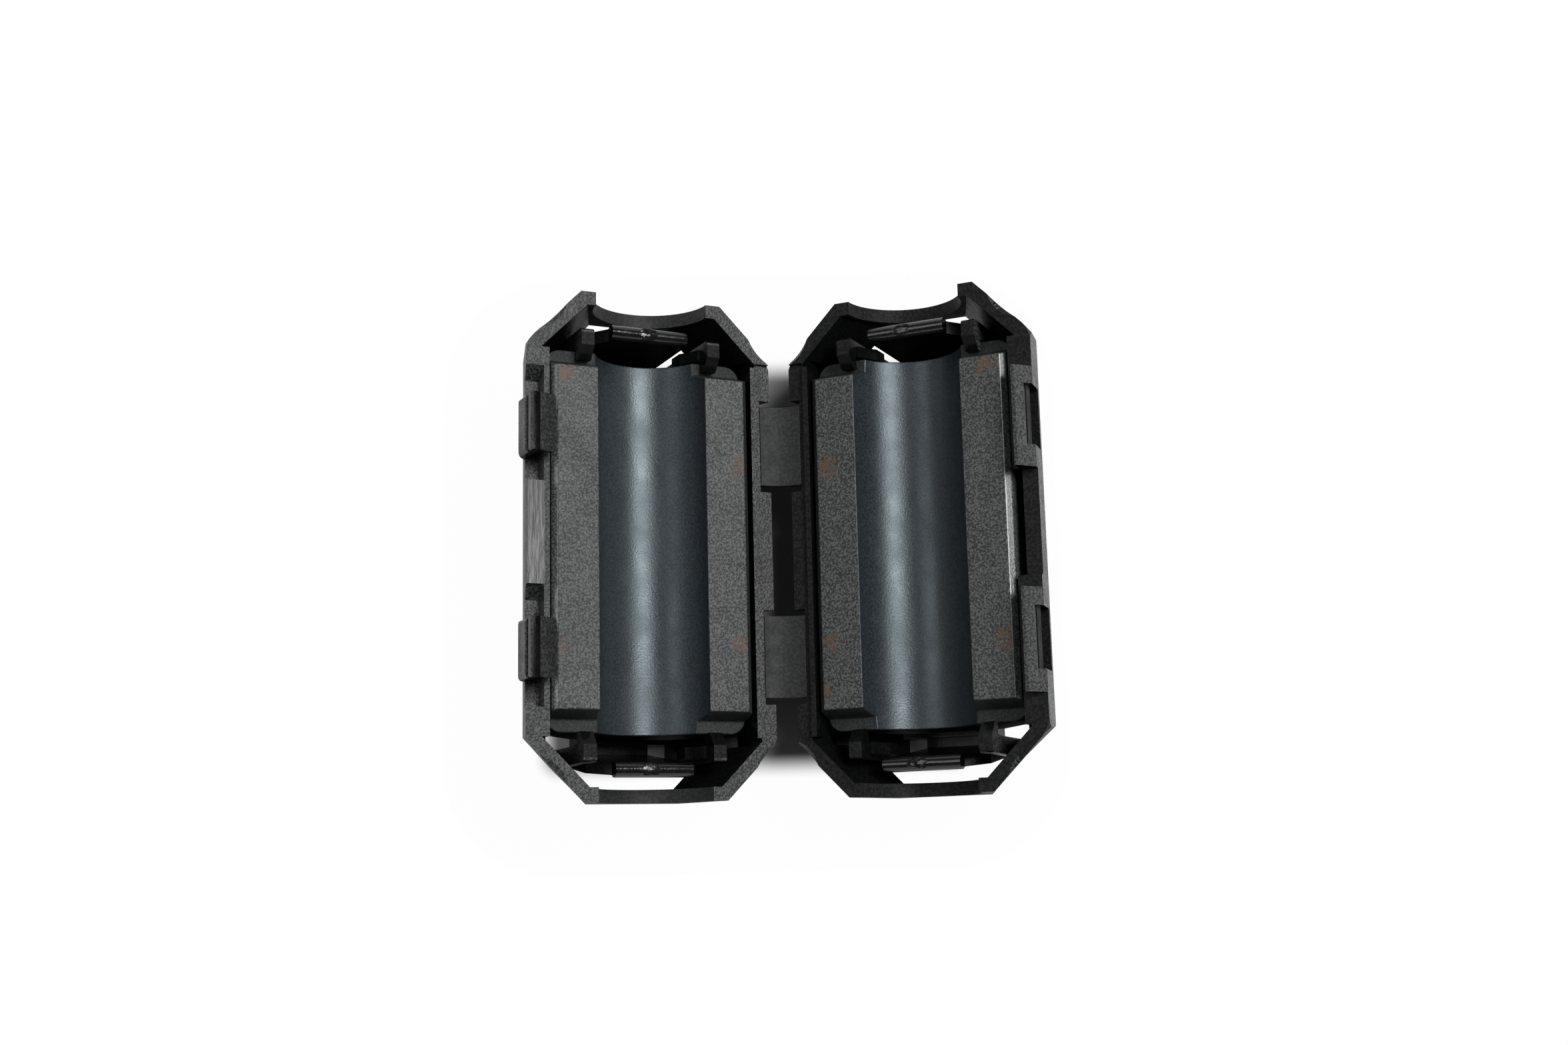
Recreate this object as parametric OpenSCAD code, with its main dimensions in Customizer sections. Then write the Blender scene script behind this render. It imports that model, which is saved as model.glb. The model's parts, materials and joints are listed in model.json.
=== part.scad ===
// Open clip on ferrite bead: a hinged plastic case that snaps shut round a cable,
// with one half of a ferrite core in each half of the case.
//
// Each half is drawn lying flat, rim up: x runs outward from the hinge line, y along the cable
// and z up from the plane of the rim. seat() then tilts it to the angle at which it lies open.

/* [Ferrite core] */
// Length of the core
core_l = 26.6; // [22:0.1:32]
// Width of one half of the core
core_w = 14.7; // [12.8:0.1:18]
// Depth of one half of the core
core_h = 7.4; // [6.4:0.1:9]
// Width of the flat under the core
core_foot = 7.5; // [6:0.1:9]
// Height of the upright sides of the core
core_side = 3.4; // [2.4:0.1:4]
// Diameter of the bore through the core
bore_d = 8; // [7:0.1:8.6]
// Length of each lowered end of the core
ledge_l = 1.45; // [1.2:0.05:2]
// Length of the slope from the parting face to a lowered end
ledge_slope = 0.55; // [0.3:0.05:0.8]
// Depth of the lowered ends below the parting face
ledge_h = 1.6; // [1.3:0.1:2.2]
// Radius of the corners of the core, seen from above
core_round = 1.1; // [0.6:0.1:1.6]
// Bevel along the outer edges of the parting faces
core_bevel = 0.4; // [0.15:0.05:0.5]
// Clearance between the core and the side walls
core_gap = 0.2; // [0.1:0.05:0.3]
// Room for the core to slide, at each end
core_play = 0.5; // [0.4:0.05:0.8]
// How far the loose cores lie towards the far end
core_shift = 0.35; // [0:0.05:0.4]

/* [Case] */
// Thickness of the side walls at the rim
side_wall = 1.7; // [1.5:0.05:2.4]
// Thickness of the back under the core
back_t = 1.8; // [1.4:0.1:2.6]
// Length of the chamber between the core and each end wall
chamber_l = 2.85; // [2.6:0.05:4]
// Width of the flat back
back_w = 8.8; // [7:0.1:11]
// Height of the leaning side walls, from the rim down
side_drop = 4; // [3.4:0.1:5]
// Inward lean of the side walls
side_lean = 15; // [8:1:18]
// Depth below the rim of the cuts and roots of latch and hinge
side_h = 1.8; // [1.6:0.1:2.6]
// Cut at the four corners of the case, seen from above
corner_cut = 4; // [3:0.1:4.6]
// Inward lean of the cut corners, from the rim down
corner_lean = 15; // [8:1:18]
// Radius between the cut corners and the sides
corner_round = 2.2; // [1.6:0.1:3]
// Height of the upright end wall under the rim
end_h = 5.8; // [5.4:0.1:7]
// Length over which the back slopes up to each end wall
end_slope = 3.2; // [2:0.1:4]
// Thickness of the end walls and the corner walls
end_wall = 0.95; // [0.8:0.05:1.4]
// Thickness of the back in the chambers at the ends
back_wall = 1.1; // [0.9:0.05:1.6]
// How much wider the cable holes are than the bore, in radius
hole_gap = 0.15; // [0.05:0.05:0.4]
// Angle by which each half is raised from lying flat
open_angle = 25.5; // [15:0.5:35]

/* [Rim] */
// Width of the raised inner lip of the rim
lip_w = 0.4; // [0.3:0.05:0.6]
// Height of the lip above the ledge outside it
lip_h = 0.3; // [0.2:0.05:0.5]
// Gap between the two rims when the case is shut
rim_gap = 0.1; // [0.06:0.02:0.3]
// Radius of the scooped bevels on the corners of the rim
scoop_r = 3.5; // [2.5:0.1:5]
// Width of those bevels
scoop_w = 0.4; // [0.2:0.05:0.6]

/* [Posts and tongues] */
// Width of each post that holds the core down
post_w = 0.95; // [0.7:0.05:1.2]
// Length of each post along the cable
post_l = 1.2; // [0.9:0.05:1.5]
// Reach of the nose of a post over the core
post_head = 0.9; // [0.5:0.05:1]
// Clearance of the posts round the cable hole
cable_gap = 0.1; // [0.05:0.05:0.3]
// Reach of the gusset beside each post at the hinge
gusset_w = 1.05; // [0.8:0.05:1.5]
// Thickness of the spring tongue
tongue_t = 0.9; // [0.6:0.05:1]
// Width of the tip of the tongue
tongue_w = 5.7; // [4:0.1:6]
// Width of the shoulder of the tongue, on the side away from the hinge
shoulder_w = 1.5; // [0.8:0.1:1.6]
// Sideways offset of the tip, towards the hinge
tongue_shift = 0.45; // [0:0.05:0.6]
// Diameter of the bead along the tip of the tongue
tongue_bead = 1.05; // [0.8:0.05:1.1]
// Lean of the tongue from its root to its tip
tongue_lean = 1.15; // [0.8:0.05:1.3]
// How far the tip of the tongue, pressed down by a cable, reaches into the cable hole
tongue_in = 0.1; // [0:0.02:0.14]

/* [Latch] */
// Distance from the end of a straight side to the lug near it
latch_inset = 2.5; // [1.8:0.05:3]
// Offset of the lugs towards the near end
lug_shift = 0.15; // [0:0.05:0.3]
// Width of each hook
hook_w = 4; // [3:0.1:4.4]
// Height of each hook above the rim
hook_h = 1.8; // [1.5:0.1:2.1]
// Thickness of the arm of a hook
hook_arm = 0.65; // [0.4:0.05:0.8]
// Inward reach of a hook past its arm
hook_reach = 1.4; // [1:0.05:1.5]
// Thickness of the tip of a hook
hook_tip = 0.9; // [0.6:0.05:1]
// How far a hook stands out of the side wall
hook_out = 0.3; // [0.1:0.05:0.4]
// Depth below the rim to which the outer face of a hook runs
hook_foot = 0.7; // [0.5:0.05:1]
// Depth of the groove along the back of a hook
hook_groove = 0.25; // [0.1:0.02:0.3]
// Width of that groove
groove_h = 0.4; // [0.3:0.05:0.5]
// Radius of the corners of a hook, seen from above
hook_round = 0.3; // [0.1:0.05:0.5]
// Length of each lug that a hook catches
lug_l = 7; // [6:0.1:8]
// Height of each lug above the rim
lug_h = 1.1; // [0.8:0.1:1.3]
// Width of the flat top of a lug, inside its slope
lug_top = 0.25; // [0.15:0.05:0.4]
// Height of the groove under the edge of a lug, where the hook passes
slit_h = 0.3; // [0.2:0.05:0.4]
// Depth of that groove
slit_d = 0.35; // [0.2:0.05:0.5]
// Length of the ramp at the far end of the space for a lug
ramp_l = 0.9; // [0.5:0.1:1.2]
// Height of the block between the hooks above the rim
block_h = 0.4; // [0.2:0.1:0.6]
// Clearance between latch parts when the case is shut
latch_gap = 0.12; // [0.08:0.02:0.2]

/* [Hinge] */
// Gap between the two halves at the hinge when they lie flat
hinge_gap = 1.1; // [0.8:0.1:1.6]
// Distance from the end of a straight side to the strap near it
strap_inset = 3.1; // [2.4:0.1:4]
// Length of each strap along the case
strap_l = 5.8; // [4:0.1:7]
// Thickness of each strap
strap_t = 0.5; // [0.3:0.05:0.6]
// Distance from the hinge line to where a strap meets a half
strap_reach = 1.45; // [1.2:0.05:1.7]
// Depth of the middle of a strap below the rim, where it meets a half
strap_drop = 0.5; // [0.4:0.05:0.8]
// Room beside each strap
strap_room = 0.45; // [0.2:0.05:0.8]

/* [Hidden] */
$fn = 64;
eps = 0.02;
above = 20;
core_half = core_l / 2;
core_half_w = core_w / 2;
bore_r = bore_d / 2;
hole_r = bore_r + hole_gap;
// Space for the core, and the case round it
pocket_half = core_half + core_play;
pocket_half_w = core_half_w + core_gap;
inner_end = pocket_half + chamber_l;
half_l = inner_end + end_wall;
half_w = pocket_half_w + side_wall;
case_l = 2 * half_l;
case_w = 2 * half_w;
case_h = core_h + back_t;
back_half = back_w / 2;
back_half_l = half_l - end_slope;
// End of the straight sides, where the cut corners start
side_end = half_l - corner_cut;
// Distance from the hinge line to the axis of the bore
bore_u = hinge_gap / 2 + half_w;
// The rim and the parting faces stop short of the plane on which the halves meet
rim_z = -rim_gap / 2;
core_z = rim_z / 2;
land_half = core_half - ledge_l;
lip_u = pocket_half_w + lip_w;
// Floor of the end chambers, and depth at which posts and tongues are rooted in it
floor_z = back_wall - case_h;
root_z = floor_z - back_wall / 2;
// Posts and their gussets
post_u = hole_r + cable_gap;
post_v = pocket_half;
post_sink = 0.07;
post_top = rim_z - post_sink;
post_round = 0.3;
nose_drop = 0.75;
gusset_l = 0.8;
gusset_h = 2.9;
// Tongue: places across the cable and heights of its outline
tongue_top = tongue_in - hole_r;
tongue_u0 = -tongue_shift - tongue_w / 2;
tongue_u1 = tongue_w / 2 - tongue_shift;
tongue_u2 = tongue_u1 + shoulder_w;
tongue_taper = 0.8;
tip_h = 0.9;
taper_h = 2.3;
shoulder_h = 0.7;
slot_v = post_v + tongue_t;
// Openings in the back beside the tongue, and at the outer corners of the core
slot_u = 5.2;
slot_room = 0.6;
slot_top = -hole_r - slot_room;
corner_hole_w = 3.2;
corner_hole_l = 1.4;
// Latch
latch_pitch = 2 * (side_end - latch_inset - lug_l / 2);
lug_v = [for (s = [-1, 1]) s * latch_pitch / 2 - lug_shift];
low_l = lug_l + 2 * latch_gap;
low_h = lug_h + latch_gap;
lug_u = lip_u + latch_gap;
hook_u = half_w + hook_out;
arm_u = hook_u - hook_arm;
tip_u = arm_u - hook_reach;
recess_u = arm_u - latch_gap;
recess_w = hook_w + 2 * latch_gap;
hook_under = hook_h - hook_tip;
window_top = latch_gap - hook_under;
window_bottom = -hook_h - latch_gap;
channel_bottom = -2 * side_h;
// The block between the hooks fills the rim between the spaces for the two lugs
block_v0 = lug_v[0] + low_l / 2 + ramp_l;
block_v1 = lug_v[1] - low_l / 2;
gap_slot_h = 2.2;
// Height at which the slope of a lug meets the recess, and the groove under that edge
slope_u = lug_u + lug_top;
recess_z = lug_h - (recess_u - slope_u) * (lug_h - rim_z) / (half_w - slope_u);
slit_top = recess_z - slit_h / 2;
// Hinge straps: each is an arc that leaves each half in the plane of its rim
strap_pitch = 2 * (side_end - strap_inset - strap_l / 2);
strap_x = strap_reach * cos(open_angle) + strap_drop * sin(open_angle);
strap_z = strap_reach * sin(open_angle) - strap_drop * cos(open_angle);
strap_r = strap_x / sin(open_angle);
strap_axis_z = strap_z + strap_r * cos(open_angle);
// Height of the hinge line when the open case rests on the inner edges of its two backs
hinge_z = case_h * cos(open_angle) - (bore_u - back_half) * sin(open_angle);

// A point of a convex outline whose two edges are moved inward by d
function corner(a, b, c, d) =
    let(
        e = (b - a) / norm(b - a),
        f = (c - b) / norm(c - b),
        m = [-e[1], e[0]],
        n = [-f[1], f[0]]
    )
    b + d * (m + n) / (1 + m * n);

// A convex outline, drawn counterclockwise, moved inward by d
function inset(p, d) =
    [for (i = [0 : len(p) - 1]) corner(p[(i + len(p) - 1) % len(p)], p[i], p[(i + 1) % len(p)], d)];

// Points of an arc between a cut corner and a side, in one quarter of the outline
function turn(u, v, start) =
    [for (i = [0 : 3]) [u, v] + corner_round * [cos(start + 15 * i), sin(start + 15 * i)]];

// Outline of the case from above: a rectangle with its corners cut
function case_plan() =
    let(
        end_u = half_w - corner_cut,
        u = half_w - corner_round,
        v = side_end - corner_round * tan(22.5)
    )
    concat(
        [[-end_u, -half_l], [end_u, -half_l]], turn(u, -v, -45), turn(u, v, 0),
        [[end_u, half_l], [-end_u, half_l]], turn(-u, v, 135), turn(-u, -v, 180)
    );

// Distance from the middle of a half to its side wall, at a depth below the rim
function wall_u(depth) = half_w - depth * tan(side_lean);

// Cross section of the case: sides that lean inward, then a slope to the flat back
function case_section() =
    let(hip_u = wall_u(side_drop))
    [[-half_w, above], [-half_w, 0], [-hip_u, -side_drop], [-back_half, -case_h],
        [back_half, -case_h], [hip_u, -side_drop], [half_w, 0], [half_w, above]];

// Lengthwise section of the case: upright ends, then a slope to the back
function case_profile() =
    [[-half_l, above], [-half_l, -end_h], [-back_half_l, -case_h],
        [back_half_l, -case_h], [half_l, -end_h], [half_l, above]];

// Cross section of the core: upright sides, then a slope to a flat back
function core_section() =
    let(foot = core_foot / 2)
    [[-core_half_w, above], [-core_half_w, -core_side], [-foot, -core_h],
        [foot, -core_h], [core_half_w, -core_side], [core_half_w, above]];

// Lengthwise section of the core: the parting face, and a slope to each lowered end
function core_profile() =
    let(
        foot_v = land_half + ledge_slope,
        low_z = core_z - ledge_h
    )
    [[-core_half, -core_h], [core_half, -core_h], [core_half, low_z], [foot_v, low_z],
        [land_half, core_z], [-land_half, core_z], [-foot_v, low_z], [-core_half, low_z]];

// Moves a half to its place: side -1 is the hook half, side 1 is the lug half
module seat(side) {
    translate([0, 0, hinge_z])
        mirror([side < 0 ? 1 : 0, 0, 0])
            rotate([0, -open_angle, 0])
                translate([bore_u, 0, 0])
                    children();
}

// Repeats a child at both ends of the case
module both_ends() {
    for (flip = [0, 1])
        mirror([0, flip, 0])
            children();
}

// A box given by its lowest and highest corners
module box(low, high) {
    translate(low)
        cube(high - low);
}

// An outline in the x and z directions, drawn out along y over a length
module along(length) {
    rotate([90, 0, 0])
        translate([0, 0, -length / 2])
            linear_extrude(length)
                children();
}

// An outline in the y and z directions, drawn out along x from one place to another
module across(from, to) {
    rotate([90, 0, 90])
        translate([0, 0, from])
            linear_extrude(to - from)
                children();
}

// The solid form of a half with all its walls moved inward
module case_form(end_d, back_d, top) {
    corner_d = (half_w + side_end) * sin(45) - end_d / cos(corner_lean);
    difference() {
        intersection() {
            translate([0, 0, -above])
                linear_extrude(above + top)
                    polygon(inset(case_plan(), end_d));
            along(case_l)
                polygon(inset(case_section(), back_d));
            across(-half_w, half_w)
                polygon(inset(case_profile(), end_d));
        }
        for (turned = [45 : 90 : 315])
            rotate([0, 0, turned])
                lean(corner_d);
    }
}

// Everything outside a cut corner that leans inward from the rim down
module lean(d) {
    translate([d, 0, 0])
        rotate([0, corner_lean, 0])
            translate([0, -case_l, -case_l])
                cube([case_l, 2 * case_l, case_l]);
}

// Space for the core, open at the rim
module core_pocket() {
    intersection() {
        along(2 * pocket_half)
            polygon(inset(core_section(), -core_gap));
        box([-case_w, -case_l, -core_h], [case_w, case_l, above]);
    }
}

// Hollow between an end of the core and the end wall
module end_chamber() {
    intersection() {
        case_form(end_wall, back_wall, above);
        box([-case_w, core_half, -case_h], [case_w, case_l, above]);
    }
}

// Openings in the back: round the tongue, and at the outer corner of the core
module back_openings() {
    root_u = tongue_u0 + tongue_taper;
    under = -case_h - eps;
    corner_u = core_half_w - core_round;
    box([-slot_u, slot_v, under], [tongue_u2 + slot_room, case_l, slot_top]);
    box([-post_u, post_v - core_play, under], [root_u, slot_v + eps, slot_top]);
    box([corner_u - corner_hole_w, post_v - corner_hole_l, under], [corner_u, post_v, -core_side]);
}

// Scooped bevels on the rim: half way along the outer corners, and near the sides at the hinge
module rim_bevels() {
    scoop(corner_cut / 2);
    mirror([1, 0, 0])
        scoop(corner_cut / 5);
}

// One cylinder that scoops the edge of the rim, at a place along a cut corner
module scoop(at) {
    translate([half_w - at, side_end + at, rim_z])
        rotate([0, 0, 45])
            translate([scoop_r * cos(45) - scoop_w, 0, scoop_r * sin(45)])
                rotate([0, 135, 0])
                    cylinder(r = scoop_r, h = 2 * scoop_r, center = true);
}

// One post with a nose that slopes down over the lowered end of the core
module post() {
    head_z = core_z - ledge_h + core_gap;
    head_v = post_v - post_head;
    tail_v = post_v + post_l;
    turn = [for (a = [0 : 15 : 90]) post_round * [cos(a) - 1, sin(a) - 1]];
    across(post_u, post_u + post_w)
        polygon(concat(
            [[post_v, root_z], [tail_v, root_z]],
            [for (t = turn) [tail_v + t[0], post_top + t[1]]],
            [[post_v, post_top], [head_v, post_top - nose_drop], [head_v, head_z], [post_v, head_z]]
        ));
}

// Bracket beside a post at the hinge, hollowed for the cable
module gusset() {
    far_u = -post_u + gusset_w;
    foot_z = -hole_r - cable_gap;
    difference() {
        translate([0, post_v + gusset_l / 2, 0])
            along(gusset_l)
                polygon([[-post_u - eps, foot_z - gusset_w], [far_u, foot_z], [far_u, foot_z + gusset_h],
                    [-post_u - eps, foot_z + gusset_h]]);
        rotate([-90, 0, 0])
            cylinder(r = hole_r + cable_gap, h = case_l);
    }
}

// Spring tongue that presses on the cable: a leaning leaf with a beaded tip and one lower shoulder
module tongue() {
    tip_v = post_v + tongue_t / 2 + tongue_lean;
    bead_z = tongue_top - tongue_bead / 2;
    root_u = tongue_u0 + tongue_taper;
    shoulder_z = tongue_top - tip_h - shoulder_h;
    intersection() {
        translate([0, inner_end, 0])
            along(case_l)
                polygon([[root_u, root_z], [tongue_u2, root_z], [tongue_u2, shoulder_z],
                    [tongue_u1, tongue_top - tip_h], [tongue_u1, tongue_top], [tongue_u0, tongue_top],
                    [tongue_u0, tongue_top - tip_h], [root_u, tongue_top - tip_h - taper_h]]);
        union() {
            across(tongue_u0, tongue_u2)
                polygon([[post_v, root_z], [slot_v, root_z], [tip_v + tongue_t / 2, bead_z],
                    [tip_v - tongue_t / 2, bead_z]]);
            translate([tongue_u0, tip_v, bead_z])
                rotate([0, 90, 0])
                    cylinder(d = tongue_bead, h = tongue_u2 - tongue_u0);
        }
    }
}

// Case form of a half without its latch: walls, pocket, chambers, posts and tongues
module plain_shell() {
    difference() {
        case_form(0, 0, rim_z);
        core_pocket();
        both_ends() {
            end_chamber();
            back_openings();
            rim_bevels();
            strap_notch();
        }
        rotate([90, 0, 0])
            cylinder(r = hole_r, h = 2 * case_l, center = true);
        hinge_ledge();
    }
    both_ends()
        intersection() {
            case_form(0, 0, rim_z);
            union() {
                post();
                mirror([1, 0, 0])
                    post();
                gusset();
                tongue();
            }
        }
}

// Ledge outside the lip on the side of the hinge
module hinge_ledge() {
    box([-case_w, -side_end, rim_z - lip_h], [-lip_u, side_end, above]);
}

// Cut in the rim where a strap meets it
module strap_notch() {
    edge_u = strap_reach - bore_u;
    reach_v = strap_l / 2 + strap_room;
    box([-case_w, strap_pitch / 2 - reach_v, -side_h], [edge_u, strap_pitch / 2 + reach_v, above]);
}

// Hook: an arm on the outer wall with a grooved back, a flat top and a tip that slopes down inward
module hook() {
    lead = hook_tip / 3;
    edge = hook_groove / 3;
    rib_z = hook_under - lead / 2;
    rib_u = hook_u - edge;
    groove_u = hook_u - hook_groove;
    root_u = arm_u - hook_arm;
    intersection() {
        translate([0, latch_pitch / 2, 0])
            along(hook_w)
                polygon([[root_u, -side_h], [wall_u(side_h) - eps, -side_h], [hook_u, -hook_foot],
                    [hook_u, rib_z], [groove_u, rib_z + edge], [groove_u, rib_z + groove_h],
                    [rib_u, rib_z + groove_h + edge], [rib_u, hook_h - edge], [rib_u - edge, hook_h],
                    [arm_u - edge, hook_h], [tip_u, hook_under + lead], [tip_u, hook_under],
                    [arm_u, hook_under], [arm_u, hook_arm / 2 - low_h], [root_u, -low_h]]);
        translate([0, latch_pitch / 2, -case_h])
            linear_extrude(2 * case_h)
                rounded([tip_u, -hook_w / 2], [hook_u, hook_w / 2], hook_round);
    }
}

// A rectangle with round corners, given by its lowest and highest corners
module rounded(low, high, r) {
    size = high - low;
    translate(low + [0, r])
        square(size - [0, 2 * r]);
    translate(low + [r, 0])
        square(size - [2 * r, 0]);
    for (u = [low[0] + r, high[0] - r], v = [low[1] + r, high[1] - r])
        translate([u, v])
            circle(r = r);
}

// Space in the outer rim of the hook half for a lug, with a ramp at its far end
module low_zone(v) {
    low_v = v - low_l / 2;
    high_v = v + low_l / 2;
    across(lip_u, case_w)
        polygon([[low_v, -low_h], [high_v, -low_h], [high_v + ramp_l, rim_z], [high_v + ramp_l, above],
            [low_v, above]]);
}

// Lug: a raised wedge on the outer rim that a hook reaches over
module lug(v) {
    translate([0, v, 0])
        along(lug_l)
            polygon([[lug_u, rim_z - eps], [half_w, rim_z - eps], [half_w, rim_z], [slope_u, lug_h],
                [lug_u, lug_h]]);
}

// Recess for the arm of a hook, the window that its tip springs into, and a groove under the top edge
module latch_window() {
    low_v = latch_pitch / 2 - recess_w / 2;
    box([recess_u, low_v, channel_bottom], [case_w, low_v + recess_w, above]);
    box([core_half_w, low_v, window_bottom], [case_w, low_v + recess_w, window_top]);
    box([recess_u - slit_d, low_v, slit_top - slit_h], [case_w, low_v + recess_w, slit_top]);
}

// Half of the case with the hooks
module hook_half_shell() {
    color([0.1, 0.105, 0.11])
        seat(-1)
            union() {
                difference() {
                    plain_shell();
                    for (v = lug_v)
                        low_zone(v);
                }
                both_ends()
                    hook();
                box([lug_u, block_v0, rim_z - eps], [half_w, block_v1, block_h]);
            }
}

// Half of the case with the lugs
module lug_half_shell() {
    slot_v0 = block_v0 - latch_gap;
    slot_v1 = block_v1 + latch_gap;
    color([0.09, 0.095, 0.1])
        seat(1)
            difference() {
                union() {
                    plain_shell();
                    for (v = lug_v)
                        lug(v);
                }
                both_ends()
                    latch_window();
                box([lip_u, slot_v0, -block_h - latch_gap], [half_w + eps, slot_v1, above]);
                box([pocket_half_w - eps, slot_v0, -gap_slot_h], [lug_u, slot_v1, above]);
            }
}

// Half of the ferrite core: a bored block with rounded corners and lowered ends
module core_half() {
    translate([0, core_shift, 0])
        difference() {
            intersection() {
                along(core_l)
                    polygon(core_section());
                across(-core_half_w, core_half_w)
                    polygon(core_profile());
                translate([0, 0, -core_h])
                    linear_extrude(core_h)
                        core_plan();
            }
            rotate([90, 0, 0])
                cylinder(r = bore_r, h = 2 * core_l, center = true);
            for (flip = [0, 1])
                mirror([flip, 0, 0])
                    translate([core_half_w, 0, core_z])
                        rotate([0, 45, 0])
                            cube([core_bevel * sqrt(2), 2 * core_l, core_bevel * sqrt(2)], center = true);
        }
}

// Outline of the core from above
module core_plan() {
    rounded([-core_half_w, -core_half], [core_half_w, core_half], core_round);
}

// Core in the half of the case with the hooks
module hook_half_ferrite() {
    color([0.26, 0.27, 0.28])
        seat(-1)
            core_half();
}

// Core in the half of the case with the lugs
module lug_half_ferrite() {
    color([0.25, 0.26, 0.27])
        seat(1)
            core_half();
}

// Living hinge strap: an arc from one half to the other
module hinge_strap(v) {
    reach = strap_r + strap_t;
    spread = reach * tan(open_angle);
    color([0.11, 0.115, 0.12])
        translate([0, v, hinge_z + strap_axis_z])
            rotate([90, 0, 0])
                translate([0, 0, -strap_l / 2])
                    linear_extrude(strap_l)
                        intersection() {
                            difference() {
                                circle(r = strap_r + strap_t / 2);
                                circle(r = strap_r - strap_t / 2);
                            }
                            polygon([[0, 0], [-spread, -reach], [spread, -reach]]);
                        }
}

// Strap at the far end of the case
module far_hinge_strap() {
    hinge_strap(strap_pitch / 2);
}

// Strap at the near end of the case
module near_hinge_strap() {
    hinge_strap(-strap_pitch / 2);
}

hook_half_shell();
lug_half_shell();
hook_half_ferrite();
lug_half_ferrite();
far_hinge_strap();
near_hinge_strap();
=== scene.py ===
import json
import math

import bmesh
import bpy
from mathutils import Euler, Matrix, Vector, noise

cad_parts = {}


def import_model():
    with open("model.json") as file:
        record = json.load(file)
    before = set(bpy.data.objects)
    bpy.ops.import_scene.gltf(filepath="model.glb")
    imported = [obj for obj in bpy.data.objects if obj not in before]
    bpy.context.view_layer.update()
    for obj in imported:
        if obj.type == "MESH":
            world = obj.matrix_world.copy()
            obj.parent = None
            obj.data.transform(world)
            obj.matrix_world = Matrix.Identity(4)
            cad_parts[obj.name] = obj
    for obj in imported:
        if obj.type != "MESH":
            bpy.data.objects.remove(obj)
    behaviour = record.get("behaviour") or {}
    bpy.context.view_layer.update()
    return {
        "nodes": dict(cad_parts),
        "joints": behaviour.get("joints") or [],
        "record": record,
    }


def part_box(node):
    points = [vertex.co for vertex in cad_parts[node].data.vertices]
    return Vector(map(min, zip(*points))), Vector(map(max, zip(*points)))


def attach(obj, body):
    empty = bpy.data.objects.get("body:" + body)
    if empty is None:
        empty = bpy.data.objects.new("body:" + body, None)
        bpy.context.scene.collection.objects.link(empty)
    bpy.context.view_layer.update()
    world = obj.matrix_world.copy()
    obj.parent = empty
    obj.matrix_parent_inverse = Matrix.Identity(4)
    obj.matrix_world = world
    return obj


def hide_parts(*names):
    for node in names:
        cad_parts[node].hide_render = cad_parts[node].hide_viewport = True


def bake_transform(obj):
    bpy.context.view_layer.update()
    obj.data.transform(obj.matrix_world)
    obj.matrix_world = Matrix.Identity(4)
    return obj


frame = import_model()

# Units: sizes below are in millimetres where nothing else is said, and MM turns them into metres
MM = 0.001

# The frame: hinge line, angle by which each half is raised, and bore of the core
joint = frame["joints"][0]
HINGE = Vector(joint["pos_m"])
OPEN_ANGLE = math.radians(-joint["range_deg"][0] / 2)
SIDES = {"hook_half": -1, "lug_half": 1}
bore = next(m for m in frame["record"]["mounts"] if m["name"] == "lug_half_bore")
BORE_R = bore["dims"]["r_mm"]
bore_at = (Vector(bore["pos_m"]) - HINGE) / MM
BORE_U = math.hypot(bore_at.x, bore_at.z)

# Camera: place from the hinge line, turn in degrees, lens, sensor, and in metres the nearest distance seen
CAMERA_PLACE = (-0.58, -22.56, 130.8)
CAMERA_TURN = (10.66, -0.05, -1.4)
CAMERA_LENS = 42.77
CAMERA_SENSOR = 36
CAMERA_NEAR = 0.001

# Floor: half of its width in metres, its plain grey (which the eye sees only under the object, as painted
# shadow), roughness and gloss
FLOOR_HALF = 1.5
FLOOR_SHADOW_GREY = (0.4, 0.4, 0.4, 1)
FLOOR_ROUGH = 0.9
FLOOR_GLOSS = 0.1
# The patch of it that keeps the shadow, where the plain grey floor paints it darker, set off to the left where
# the shadow falls: middle, half sizes, edge, fade and how white the edge is
SHADOW_MIDDLE = (-2.3, 0, 0)
SHADOW_HALF = (14.3, 13.9, 0)
SHADOW_EDGE = 2.0
SHADOW_FADE = 9
SHADOW_WHITE = 0.98

# Light from all round, and the heights between which the white horizon fades
WORLD_LIGHT = 0.1
HORIZON = (0.2, 0.45)
# Lamps: name, direction, distance and size in metres, and power in watts
LAMPS = (
    ("key", (0.53, 0.3, 1), 0.6, 0.27, 3.2),
    ("fill", (-0.73, 0.1, 1), 0.6, 0.3, 0.68),
)

# Meshes: gap that is closed, degrees up to which faces count as flat and from which edges are softened,
# steps and widths of the soft edges, and strips along a strap
MERGE_GAP = 0.001
FLAT_ANGLE = 0.5
SOFT_ANGLE = 28
SOFT_STEPS = 2
SHELL_BEVEL = 0.09
FERRITE_BEVEL = 0.1
STRAP_BEVEL = 0.06
STRAP_STRIPS = 24

# The tongues stand free, without a cable: how far their tips spring up, and the stretch that bends
TONGUE_RISE = 2.65
TONGUE_ROOT = -8.0
TONGUE_TOP = -5.15
TONGUE_U = (BORE_U - 3.35, BORE_U + 3.95)
TONGUE_V = (13.75, 16.0)
# What lies above this w is no part of a tongue, and short of this v what lies above the second w
TONGUE_LIMIT = -3.9
TONGUE_INNER_V = 14.7
TONGUE_INNER_LIMIT = -5.3

# The outer wall of the lug half stands more upright under the rim: from and to which w, by how much per mm,
# and a tolerance at the lower edge
BAND_TOP = -0.05
BAND_LOW = -2.3
BAND_LEAN = 0.15
BAND_SLACK = 0.01
# The w of a normal: under LEANING where the wall leans as in the solid, between the two on the upright stretch
LEANING = -0.2
UPRIGHT = -0.05

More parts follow.
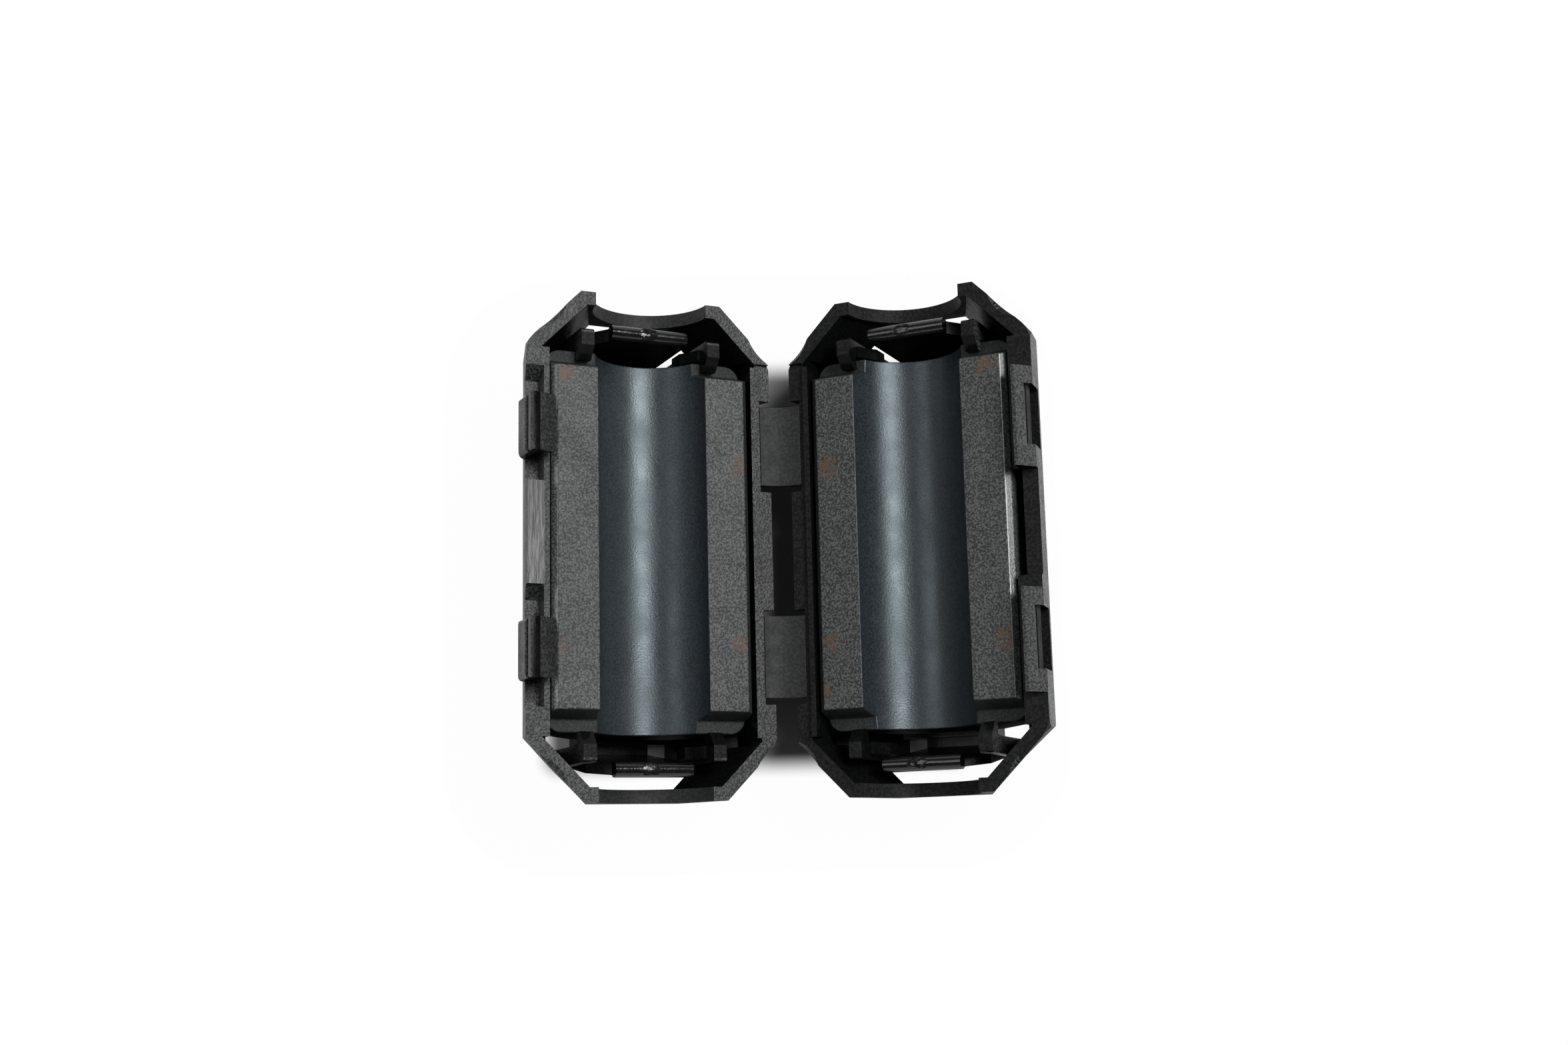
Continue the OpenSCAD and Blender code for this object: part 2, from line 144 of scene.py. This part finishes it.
# Gate marks on the tips of the tongues: half, u, v and w
GATES = ((-1, 9.5, 15.4, -1.45), (-1, 9.6, -15.4, -1.45), (1, 9.0, 15.4, -1.45), (1, 9.1, -15.4, -1.45))
# Their half sizes, how far they sink in and how often their mesh is divided, and for a coarse and a fine
# roughness the strength, scale and shift from gate to gate
GATE_HALF = (0.8, 0.42, 0.13)
GATE_SINK = 0.03
GATE_DETAIL = 4
GATE_COARSE = (0.22, 1.6, (7.3, 0, 0))
GATE_FINE = (0.1, 4.5, (0, 3.1, 0))

# Brown smudges on the ground faces of the cores: half, u, v and radius
SMUDGES = (
    (-1, 16.15, 11.5, 0.7), (-1, 3.0, 5.9, 0.9), (-1, 16.7, -7.3, 0.6), (-1, 3.5, -6.9, 0.7),
    (1, 3.6, 5.7, 0.9), (1, 3.5, -6.9, 0.7), (1, 15.8, 11.35, 0.8), (1, 16.4, -7.4, 0.9), (1, 3.1, -10.3, 0.6),
)
SMUDGE_COLOUR = (0.1, 0.052, 0.03, 1)
# Shares of the radius between which a smudge fades
SMUDGE_FADE = (0.1, 1.5)

# Noise: scales per metre, and the values between which it goes from one end to the other
WAVE_SCALE = 900
CLOUD_SCALE = 420
SMUDGE_SCALE = 2200
FERRITE_SCALE = 7200
PLASTIC_SPAN = (0.42, 0.62)
FERRITE_SPAN = (0.43, 0.6)
SMUDGE_SPAN = (0.38, 0.6)
SLOW_SPAN = (0.3, 0.7)
# How far the roughness of a finish goes down and up, strengths of the bumps, and depth of the ferrite's slow one
PLASTIC_UNEVEN = (-0.08, 0.08)
FERRITE_UNEVEN = (-0.05, 0.07)
WAVE_BUMP = 0.5
PLASTIC_BUMP = 0.8
CLOUD_BUMP = 0.3
FERRITE_BUMP = 0.6
CLOUD_DEPTH = 0.03

# Where the finishes lie. How much of a normal points one way:
FULLY = 0.9
MOSTLY = 0.5
PARTLY = 0.3
# Half of the depth of a half shell
CASE_MIDDLE = 4.2
# Rim: u from the bore at the sides, v at the ends, their sum at the cut corners, and its lowest w
RIM_U = 7
RIM_V = 16.2
RIM_SUM = 19
RIM_LOW = -1.5
# Outer walls: sum of u and v at the cut corners, v at the ends, and how much of a normal points along the cable
CORNER_SUM = 20
END_V = 16
END_FACING = 0.4
# Hooks: w above which their tops, backs and slopes lie, and how level or outward tops and backs are
HOOK_TOP = 1.5
HOOK_BACK = 0.4
HOOK_SLOPE = 0.5
HOOK_LEVEL = 0.95
HOOK_OUTWARD = 0.8
# Lugs: lowest w and upward part of their slopes, and the w of their tops
LUG_SLOPE = -0.2
LUG_UPWARD = 0.4
LUG_TOP = (0.8, 1.3)
# Low stretches of the rim: u from the bore, and w
RECESS_U = 6.4
RECESS_W = (-2.2, 0)
# The block between the hooks: half length and w of its top
BLOCK_HALF = 4
BLOCK_W = (0.2, 0.6)
# Cable notch: half width. Tongue tips: half width, v, lowest w and how far their faces may look down
NOTCH_HALF = 6
TIP_HALF = 4.2
TIP_V = (14.5, 16.1)
TIP_LOW = -2.4
TIP_DOWNWARD = -0.2
# Outer wall of the lug half: u from the bore
BAND_U = 8
# Cores: tolerance of the bore, lowest w of the ground faces, and u from the bore and lowest w of the outer side
BORE_SLACK = 0.15
LAND_LOW = -0.3
SIDE_U = 6
SIDE_LOW = -4.5


def place(side, u, v, w):
    """A point of a half: u outward from the hinge line, v along the cable and w up from the rim."""
    x = u * math.cos(OPEN_ANGLE) - w * math.sin(OPEN_ANGLE)
    z = u * math.sin(OPEN_ANGLE) + w * math.cos(OPEN_ANGLE)
    return HINGE + Vector((side * x, v, z)) * MM


def in_half(side, point):
    """The u, v and w of a point."""
    p = (Vector(point) - HINGE) / MM
    x = side * p.x
    u = x * math.cos(OPEN_ANGLE) + p.z * math.sin(OPEN_ANGLE)
    w = p.z * math.cos(OPEN_ANGLE) - x * math.sin(OPEN_ANGLE)
    return Vector((u, p.y, w))


def axes(side):
    """Turns a direction into the u, v and w of a half."""
    return Matrix(((side * math.cos(OPEN_ANGLE), 0, math.sin(OPEN_ANGLE)), (0, 1, 0),
                   (-side * math.sin(OPEN_ANGLE), 0, math.cos(OPEN_ANGLE))))


# Meshes
def copy_of(node, name, bevel):
    """A copy of a CAD node's mesh with whole faces in place of triangles and softened edges."""
    mesh = frame["nodes"][node].data.copy()
    mesh.name = name
    mesh.materials.clear()
    if "custom_normal" in mesh.attributes:
        mesh.attributes.remove(mesh.attributes["custom_normal"])
    work = bmesh.new()
    work.from_mesh(mesh)
    bmesh.ops.remove_doubles(work, verts=work.verts, dist=MERGE_GAP * MM)
    bmesh.ops.dissolve_limit(
        work, angle_limit=math.radians(FLAT_ANGLE), verts=work.verts, edges=work.edges, delimit={"NORMAL"})
    for face in work.faces:
        face.smooth = True
    work.to_mesh(mesh)
    work.free()
    piece = bpy.data.objects.new(name, mesh)
    bpy.context.scene.collection.objects.link(piece)
    soften = piece.modifiers.new("soft_edges", "BEVEL")
    soften.width = bevel * MM
    soften.segments = SOFT_STEPS
    soften.limit_method = "ANGLE"
    soften.angle_limit = math.radians(SOFT_ANGLE)
    soften.harden_normals = True
    return piece


def raise_tongues(mesh, side):
    """Springs the tongues up from where a cable presses them to where they stand free."""
    for vert in mesh.vertices:
        p = in_half(side, vert.co)
        v = abs(p.y)
        if not (TONGUE_U[0] < p.x < TONGUE_U[1] and TONGUE_V[0] < v < TONGUE_V[1]):
            continue
        if not TONGUE_ROOT < p.z < TONGUE_LIMIT or (v < TONGUE_INNER_V and p.z > TONGUE_INNER_LIMIT):
            continue
        share = min((p.z - TONGUE_ROOT) / (TONGUE_TOP - TONGUE_ROOT), 1)
        vert.co = place(side, p.x, p.y, p.z + TONGUE_RISE * share)


def stand_wall(mesh, side):
    """Stands the outer side wall more upright under the rim, where it catches the light."""
    turn = axes(side)
    work = bmesh.new()
    work.from_mesh(mesh)

    def is_wall(face):
        normal = turn @ face.normal
        outer = in_half(side, face.calc_center_median()).x > BORE_U + RIM_U
        return outer and normal.x > FULLY and normal.z < LEANING

    work.normal_update()
    faces = [f for f in work.faces if is_wall(f)]
    edges = list(dict.fromkeys(e for f in faces for e in f.edges))
    verts = list(dict.fromkeys(v for f in faces for v in f.verts))
    up = place(side, 0, 0, 1) - place(side, 0, 0, 0)
    bmesh.ops.bisect_plane(work, geom=verts + edges + faces, plane_co=place(side, 0, 0, BAND_LOW), plane_no=up)
    work.normal_update()
    for vert in dict.fromkeys(v for f in work.faces if is_wall(f) for v in f.verts):
        p = in_half(side, vert.co)
        if BAND_LOW - BAND_SLACK < p.z < BAND_TOP:
            vert.co = place(side, p.x + BAND_LEAN * (BAND_TOP - p.z), p.y, p.z)
    work.to_mesh(mesh)
    work.free()


def add_gates(mesh, side):
    """Low torn lumps where the plastic entered the mould, on the tips of the tongues."""
    work = bmesh.new()
    work.from_mesh(mesh)
    for number, (half, u, v, w) in enumerate(GATES):
        if half != side:
            continue
        made = bmesh.ops.create_icosphere(work, subdivisions=GATE_DETAIL, radius=1)["verts"]
        for vert in made:
            p = vert.co.copy()
            rough = 1
            for strength, scale, shift in (GATE_COARSE, GATE_FINE):
                rough += strength * noise.noise(p * scale + Vector([number * s for s in shift]))
            out, along, high = (size * part * rough for size, part in zip(GATE_HALF, p))
            vert.co = place(side, u + out, v + along, w - GATE_SINK + high)
        for face in {f for vert in made for f in vert.link_faces}:
            face.smooth = True
            if side < 0:
                face.normal_flip()
    work.to_mesh(mesh)
    work.free()


def dress(mesh, side, finishes):
    """Gives each face the first material whose rule holds for its middle and its normal in its half."""
    for material, _ in finishes:
        mesh.materials.append(material)
    turn = axes(side)
    for face in mesh.polygons:
        middle = in_half(side, face.center)
        normal = turn @ face.normal
        face.material_index = next(i for i, (_, rule) in enumerate(finishes) if rule(middle, normal))


# Materials
def new_material(name):
    """A material with its nodes and links."""
    material = bpy.data.materials.new(name)
    material.use_nodes = True
    return material, material.node_tree.nodes, material.node_tree.links


def noise_of(nodes, links, coords, scale, detail=2.0, stretch=None, rough=0.5):
    """Noise in object space, scale per metre, stretched along an axis where stretch is given."""
    made = nodes.new("ShaderNodeTexNoise")
    made.inputs["Scale"].default_value = scale
    made.inputs["Detail"].default_value = detail
    made.inputs["Roughness"].default_value = rough
    source = coords.outputs["Object"]
    if stretch:
        shape = nodes.new("ShaderNodeVectorMath")
        shape.operation = "MULTIPLY"
        shape.inputs[1].default_value = stretch
        links.new(source, shape.inputs[0])
        source = shape.outputs[0]
    links.new(source, made.inputs["Vector"])
    return made.outputs["Fac"]


def span(nodes, links, source, low, high, to_low, to_high, smooth=False):
    """A value brought from one range into another, and kept within it."""
    made = nodes.new("ShaderNodeMapRange")
    made.interpolation_type = "SMOOTHSTEP" if smooth else "LINEAR"
    for name, value in (("From Min", low), ("From Max", high), ("To Min", to_low), ("To Max", to_high)):
        made.inputs[name].default_value = value
    links.new(source, made.inputs["Value"])
    return made.outputs["Result"]


def combined(nodes, links, operation, first, second):
    """Two values joined by a math operation."""
    made = nodes.new("ShaderNodeMath")
    made.operation = operation
    links.new(first, made.inputs[0])
    links.new(second, made.inputs[1])
    return made.outputs[0]


def bumps(nodes, links, shader, layers):
    """Bump layers of (height, strength, distance in millimetres), chained onto a shader."""
    last = None
    for height, strength, distance in layers:
        bump = nodes.new("ShaderNodeBump")
        bump.inputs["Strength"].default_value = strength
        bump.inputs["Distance"].default_value = distance * MM
        links.new(height, bump.inputs["Height"])
        if last:
            links.new(last, bump.inputs["Normal"])
        last = bump.outputs["Normal"]
    links.new(last, shader.inputs["Normal"])


def tint(nodes, links, fac, dark, light):
    """A colour between a dark and a light one."""
    ramp = nodes.new("ShaderNodeMix")
    ramp.data_type = "RGBA"
    ramp.inputs["A"].default_value = (*dark, 1)
    ramp.inputs["B"].default_value = (*light, 1)
    links.new(fac, ramp.inputs["Factor"])
    return ramp.outputs["Result"]


def plastic(name, dark, light, rough, gloss, grain_scale, grain_depth, wave_depth, stretch=None):
    """Black moulded plastic: a fine grain, slower waves of the tool's surface and uneven gloss."""
    material, nodes, links = new_material(name)
    shader = nodes["Principled BSDF"]
    shader.inputs["Specular IOR Level"].default_value = gloss
    coords = nodes.new("ShaderNodeTexCoord")
    grain = noise_of(nodes, links, coords, grain_scale, stretch=stretch)
    waves = noise_of(nodes, links, coords, WAVE_SCALE, detail=3.0, stretch=stretch)
    shade = span(nodes, links, grain, *PLASTIC_SPAN, 0, 1)
    links.new(tint(nodes, links, shade, dark, light), shader.inputs["Base Color"])
    uneven = (rough + step for step in PLASTIC_UNEVEN)
    links.new(span(nodes, links, waves, *SLOW_SPAN, *uneven), shader.inputs["Roughness"])
    bumps(nodes, links, shader, ((waves, WAVE_BUMP, wave_depth), (grain, PLASTIC_BUMP, grain_depth)))
    return material


def smudge_mask(nodes, links, coords):
    """One where a brown smudge lies, with a ragged edge."""
    ragged = noise_of(nodes, links, coords, SMUDGE_SCALE, detail=4.0)
    total = None
    for side, u, v, radius in SMUDGES:
        away = nodes.new("ShaderNodeVectorMath")
        away.operation = "DISTANCE"
        away.inputs[1].default_value = place(side, u, v, 0)
        links.new(coords.outputs["Object"], away.inputs[0])
        near, far = (share * radius * MM for share in SMUDGE_FADE)
        inside = span(nodes, links, away.outputs["Value"], near, far, 1, 0, True)
        total = combined(nodes, links, "MAXIMUM", total, inside) if total else inside
    return combined(nodes, links, "MULTIPLY", total, span(nodes, links, ragged, *SMUDGE_SPAN, 0, 1, True))


def ferrite(name, dark, light, rough, gloss, grain_depth, gloss_tint=(1, 1, 1), smudged=False):
    """Sintered ferrite: grey speckled grain, with brown smudges on ground faces."""
    material, nodes, links = new_material(name)
    shader = nodes["Principled BSDF"]
    shader.inputs["Specular IOR Level"].default_value = gloss
    shader.inputs["Specular Tint"].default_value = (*gloss_tint, 1)
    coords = nodes.new("ShaderNodeTexCoord")
    grain = noise_of(nodes, links, coords, FERRITE_SCALE, rough=0.6)
    cloud = noise_of(nodes, links, coords, CLOUD_SCALE, detail=4.0)
    shade = span(nodes, links, grain, *FERRITE_SPAN, 0, 1)
    colour = tint(nodes, links, shade, dark, light)
    if smudged:
        stain = nodes.new("ShaderNodeMix")
        stain.data_type = "RGBA"
        stain.inputs["B"].default_value = SMUDGE_COLOUR
        links.new(smudge_mask(nodes, links, coords), stain.inputs["Factor"])
        links.new(colour, stain.inputs["A"])
        colour = stain.outputs["Result"]
    links.new(colour, shader.inputs["Base Color"])
    uneven = (rough + step for step in FERRITE_UNEVEN)
    links.new(span(nodes, links, cloud, *SLOW_SPAN, *uneven), shader.inputs["Roughness"])
    bumps(nodes, links, shader, ((cloud, CLOUD_BUMP, CLOUD_DEPTH), (grain, FERRITE_BUMP, grain_depth)))
    return material


SPARKED = plastic(
    "case_sparked", dark=(0.006, 0.0063, 0.0063), light=(0.072, 0.074, 0.074), rough=0.5, gloss=0.4,
    grain_scale=6800, grain_depth=0.06, wave_depth=0.02)
HOOK = plastic(
    "case_hook", dark=(0.003, 0.0032, 0.0032), light=(0.03, 0.031, 0.031), rough=0.5, gloss=0.3,
    grain_scale=5200, grain_depth=0.08, wave_depth=0.03)
# Lighter, glossier copy of the sparked plastic: painted light on the upright strip of the lug half's outer wall,
# where the key light falls
BAND = plastic(
    "case_band_painted_light", dark=(0.012, 0.0123, 0.0123), light=(0.15, 0.153, 0.153), rough=0.5, gloss=0.5,
    grain_scale=6800, grain_depth=0.06, wave_depth=0.02)
# Duller, darker copy of the sparked plastic: its low roughness of gloss is a finish, its dark colour is painted
# shade, for the lug half's rims, low stretches and notch, the post heads in the end chambers and the end walls
# that face along the cable
DULL_SHADED = plastic(
    "case_dull_painted_shade", dark=(0.008, 0.0082, 0.0084), light=(0.02, 0.0205, 0.0207), rough=0.55, gloss=0.1,
    grain_scale=5200, grain_depth=0.03, wave_depth=0.02)
# Glossy smooth plastic, its colour set darker than the other plastics as painted shade in the end chambers and
# on the faces inside
SMOOTH = plastic(
    "case_smooth_painted_shade", dark=(0.003, 0.0032, 0.0034), light=(0.006, 0.0062, 0.0065), rough=0.22, gloss=0.1,
    grain_scale=6400, grain_depth=0.006, wave_depth=0.015)
# Same darkened colour as the smooth plastic, painted shade in the end chambers, and glossier for the highlights
# on the tongue tips
TIP = plastic(
    "case_tip", dark=(0.003, 0.0032, 0.0034), light=(0.006, 0.0062, 0.0065), rough=0.16, gloss=0.5,
    grain_scale=6400, grain_depth=0.008, wave_depth=0.03)
BENT = plastic(
    "case_bent", dark=(0.012, 0.0125, 0.0125), light=(0.026, 0.027, 0.027), rough=0.6, gloss=0.3,
    grain_scale=5200, grain_depth=0.02, wave_depth=0.02)
STREAKED = plastic(
    "case_streaked", dark=(0.016, 0.0167, 0.0167), light=(0.08, 0.082, 0.082), rough=0.38, gloss=0.5,
    grain_scale=6000, grain_depth=0.03, wave_depth=0.02, stretch=(1, 0.12, 1))
GROUND = ferrite(
    "ferrite_ground", dark=(0.01, 0.0115, 0.011), light=(0.1, 0.107, 0.105), rough=0.56, gloss=0.5,
    grain_depth=0.03, smudged=True)
SATIN = ferrite(
    "ferrite_bore", dark=(0.012, 0.0148, 0.0172), light=(0.031, 0.0378, 0.0435), rough=0.38, gloss=0.78,
    grain_depth=0.025, gloss_tint=(0.8, 0.94, 1))
# Glossier ferrite for the core's outer side, and also lighter than the raw ferrite: painted light for the strip
# that the light catches there
EDGE = ferrite(
    "ferrite_side_painted_light", dark=(0.03, 0.032, 0.032), light=(0.12, 0.125, 0.125), rough=0.28, gloss=0.9,
    grain_depth=0.015)
RAW = ferrite(
    "ferrite_raw", dark=(0.014, 0.015, 0.0155), light=(0.034, 0.036, 0.037), rough=0.6, gloss=0.25,
    grain_depth=0.02)


# Rules for the finishes, by a face's middle p and its normal n in its half
def on_hook_back(p, n):
    """The top and the outer side of a hook."""
    return (n.z > HOOK_LEVEL and p.z > HOOK_TOP) or (n.x > HOOK_OUTWARD and p.z > HOOK_BACK)


def on_hook_slope(p, n):
    """The side of a hook that leans toward the core."""
    return n.z > PARTLY and n.x < -PARTLY and p.z > HOOK_SLOPE


def on_lug(p, n):
    """The slope and the top of a lug."""
    sloped = n.z > LUG_UPWARD and n.x > MOSTLY and p.z > LUG_SLOPE
    return sloped or (n.z > FULLY and LUG_TOP[0] < p.z < LUG_TOP[1])


def in_recess(p, n):
    """The low stretches of the rim that the hooks and lugs leave free."""
    inside = p.x - BORE_U > RECESS_U and RECESS_W[0] < p.z < RECESS_W[1]
    return inside and abs(n.y) < FULLY and (n.z > PARTLY or n.x > MOSTLY)


def in_notch(p, n):
    """The notch for the cable in an end wall."""
    return abs(p.y) > END_V and abs(n.y) < PARTLY and abs(p.x - BORE_U) < NOTCH_HALF and n.z > 0


def on_outside(p, n):
    """Outer walls: at the sides, under the case and at the cut corners."""
    u = p.x - BORE_U
    outward = n.x * math.copysign(1, u)
    endward = n.y * math.copysign(1, p.y)
    if abs(u) + abs(p.y) > CORNER_SUM and outward > PARTLY and endward > PARTLY:
        return True
    return abs(n.y) < PARTLY and u * n.x + (p.z + CASE_MIDDLE) * n.z > CASE_MIDDLE


def on_band(p, n):
    """The upright stretch of the lug half's outer wall, which takes the lighter plastic as painted light."""
    upright = n.x > FULLY and LEANING < n.z < UPRIGHT
    return upright and p.x > BORE_U + BAND_U and BAND_LOW < p.z < BAND_TOP


def on_block(p, n):
    """The top of the block between the hooks."""
    level = n.z > FULLY and BLOCK_W[0] < p.z < BLOCK_W[1]
    return level and abs(p.y) < BLOCK_HALF and p.x > BORE_U + RIM_U


def on_tip(p, n):
    """The rounded end of a tongue."""
    inside = abs(p.x - BORE_U) < TIP_HALF and TIP_V[0] < abs(p.y) < TIP_V[1]
    return inside and p.z > TIP_LOW and n.z > TIP_DOWNWARD


def on_rim(p, n):
    """The top of the walls."""
    u, v = abs(p.x - BORE_U), abs(p.y)
    return n.z > FULLY and p.z > RIM_LOW and (u > RIM_U or v > RIM_V or u + v > RIM_SUM)


def on_post(p, n):
    """The heads of the posts, beside the tongues."""
    return n.z > FULLY and p.z > RIM_LOW and abs(p.x - BORE_U) > TIP_HALF


def at_end(p, n):
    """Outer walls that face along the cable, and the cut corners beside them."""
    return abs(n.y) > END_FACING and abs(p.y) > END_V


def in_bore(p, n):
    """The bore of a core."""
    return abs(math.hypot(p.x - BORE_U, p.z) - BORE_R) < BORE_SLACK and abs(n.y) < PARTLY


def on_land(p, n):
    """The ground faces of a core."""
    return n.z > FULLY and p.z > LAND_LOW


def on_outer_side(p, n):
    """The side of a core next to the latch, and the edge above it, which take the lighter ferrite as painted
    light.
    """
    return n.x > PARTLY and p.x > BORE_U + SIDE_U and p.z > SIDE_LOW and abs(n.y) < MOSTLY


def always(p, n):
    """Any face that no rule before it has taken."""
    return True


# Pieces
for body, side in SIDES.items():
    shell = copy_of(body + "_shell", body + "_case", SHELL_BEVEL)
    raise_tongues(shell.data, side)
    if side > 0:
        stand_wall(shell.data, side)
    add_gates(shell.data, side)
    # The lug half tilts its rims, low stretches and notch away from the key light, so they take the darker,
    # duller plastic as painted shade
    rim, notch = (SPARKED, BENT) if side < 0 else (DULL_SHADED, DULL_SHADED)
    finishes = (
        (SMOOTH, on_hook_back), (HOOK, on_hook_slope), (STREAKED, on_block), (SPARKED, on_lug), (BAND, on_band),
        (rim, on_rim), (rim, in_recess), (notch, in_notch), (TIP, on_tip), (DULL_SHADED, on_post), (DULL_SHADED, at_end),
        (SPARKED, on_outside), (SMOOTH, always))
    dress(shell.data, side, finishes)
    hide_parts(body + "_shell")
    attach(shell, body)
    core = copy_of(body + "_ferrite", body + "_core", FERRITE_BEVEL)
    dress(core.data, side, ((SATIN, in_bore), (GROUND, on_land), (EDGE, on_outer_side), (RAW, always)))
    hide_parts(body + "_ferrite")
    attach(core, body)


def strap(node, name):
    """A strap of the living hinge that bends between the two halves."""
    low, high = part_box(node)
    piece = copy_of(node, name, STRAP_BEVEL)
    work = bmesh.new()
    work.from_mesh(piece.data)
    for i in range(1, STRAP_STRIPS):
        x = low[0] + (high[0] - low[0]) * i / STRAP_STRIPS
        bmesh.ops.bisect_plane(
            work, geom=work.verts[:] + work.edges[:] + work.faces[:], plane_co=(x, 0, 0), plane_no=(1, 0, 0))
    work.to_mesh(piece.data)
    work.free()
    piece.data.materials.append(BENT)
    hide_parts(node)
    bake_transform(piece)


strap("far_hinge_strap", "far_strap")
strap("near_hinge_strap", "near_strap")


# Stage
def seen_rays(nodes, links):
    """One for rays from the camera, and one for rays in a mirror or through glass."""
    rays = nodes.new("ShaderNodeLightPath").outputs
    mirrored = combined(nodes, links, "MAXIMUM", rays["Is Glossy Ray"], rays["Is Transmission Ray"])
    return rays["Is Camera Ray"], mirrored


def floor():
    """White floor: plain grey under the object, so that it keeps the shadow and darkens it as painted shadow,
    and white to the eye round it.
    """
    half = FLOOR_HALF
    mesh = bpy.data.meshes.new("floor")
    mesh.from_pydata(
        [(-half, -half, 0), (half, -half, 0), (half, half, 0), (-half, half, 0)], [], [(0, 1, 2, 3)])
    obj = bpy.data.objects.new("floor", mesh)
    bpy.context.scene.collection.objects.link(obj)
    material, nodes, links = new_material("floor_white_painted_shadow")
    plain = nodes["Principled BSDF"]
    plain.inputs["Base Color"].default_value = FLOOR_SHADOW_GREY
    plain.inputs["Roughness"].default_value = FLOOR_ROUGH
    plain.inputs["Specular IOR Level"].default_value = FLOOR_GLOSS
    white = nodes.new("ShaderNodeEmission")
    white.inputs["Color"].default_value = (1, 1, 1, 1)
    white.inputs["Strength"].default_value = 1.0
    coords = nodes.new("ShaderNodeTexCoord")
    spot = coords.outputs["Object"]
    for operation, value in (("SUBTRACT", Vector(SHADOW_MIDDLE) * MM), ("ABSOLUTE", None),
                             ("SUBTRACT", Vector(SHADOW_HALF) * MM), ("MAXIMUM", Vector()), ("LENGTH", None)):
        away = nodes.new("ShaderNodeVectorMath")
        away.operation = operation
        if value is not None:
            away.inputs[1].default_value = value
        links.new(spot, away.inputs[0])
        spot = away.outputs[0]
    near = span(nodes, links, away.outputs["Value"], 0, SHADOW_EDGE * MM, 0, SHADOW_WHITE, True)
    wide = span(nodes, links, away.outputs["Value"], SHADOW_EDGE * MM, SHADOW_FADE * MM, 0, 1, True)
    eye, mirrored = seen_rays(nodes, links)
    for_eye = combined(nodes, links, "MULTIPLY", combined(nodes, links, "MAXIMUM", near, wide), eye)
    for_mirror = combined(nodes, links, "MULTIPLY", wide, mirrored)
    mix = nodes.new("ShaderNodeMixShader")
    links.new(combined(nodes, links, "MAXIMUM", for_eye, for_mirror), mix.inputs["Fac"])
    links.new(plain.outputs[0], mix.inputs[1])
    links.new(white.outputs[0], mix.inputs[2])
    links.new(mix.outputs[0], nodes["Material Output"].inputs["Surface"])
    mesh.materials.append(material)


def lamp(name, direction, distance, size, power):
    """A square soft light that faces the object from a direction."""
    data = bpy.data.lights.new(name, "AREA")
    data.size = size
    data.energy = power
    obj = bpy.data.objects.new(name, data)
    obj.location = Vector(direction).normalized() * distance
    obj.rotation_euler = (-obj.location).to_track_quat("-Z", "Y").to_euler()
    bpy.context.scene.collection.objects.link(obj)


def world():
    """Dim light from all round, with a white horizon to the eye."""
    made = bpy.data.worlds.new("studio")
    bpy.context.scene.world = made
    made.use_nodes = True
    nodes, links = made.node_tree.nodes, made.node_tree.links
    back = nodes["Background"]
    back.inputs["Color"].default_value = (1, 1, 1, 1)
    coords = nodes.new("ShaderNodeTexCoord")
    parts = nodes.new("ShaderNodeSeparateXYZ")
    links.new(coords.outputs["Generated"], parts.inputs[0])
    low = span(nodes, links, parts.outputs["Z"], *HORIZON, 1, 0, True)
    eye, mirrored = seen_rays(nodes, links)
    seen = combined(nodes, links, "MAXIMUM", eye, mirrored)
    white = combined(nodes, links, "MULTIPLY", low, seen)
    links.new(span(nodes, links, white, 0, 1, WORLD_LIGHT, 1), back.inputs["Strength"])


def camera():
    """The camera that was fitted to the photo."""
    data = bpy.data.cameras.new("camera")
    data.sensor_fit = "HORIZONTAL"
    data.sensor_width = CAMERA_SENSOR
    data.lens = CAMERA_LENS
    data.clip_start = CAMERA_NEAR
    obj = bpy.data.objects.new("camera", data)
    obj.location = HINGE + Vector(CAMERA_PLACE) * MM
    obj.rotation_euler = Euler([math.radians(a) for a in CAMERA_TURN], "XYZ")
    bpy.context.scene.collection.objects.link(obj)
    bpy.context.scene.camera = obj


floor()
world()
camera()
for values in LAMPS:
    lamp(*values)
bpy.context.scene.view_settings.view_transform = "Standard"
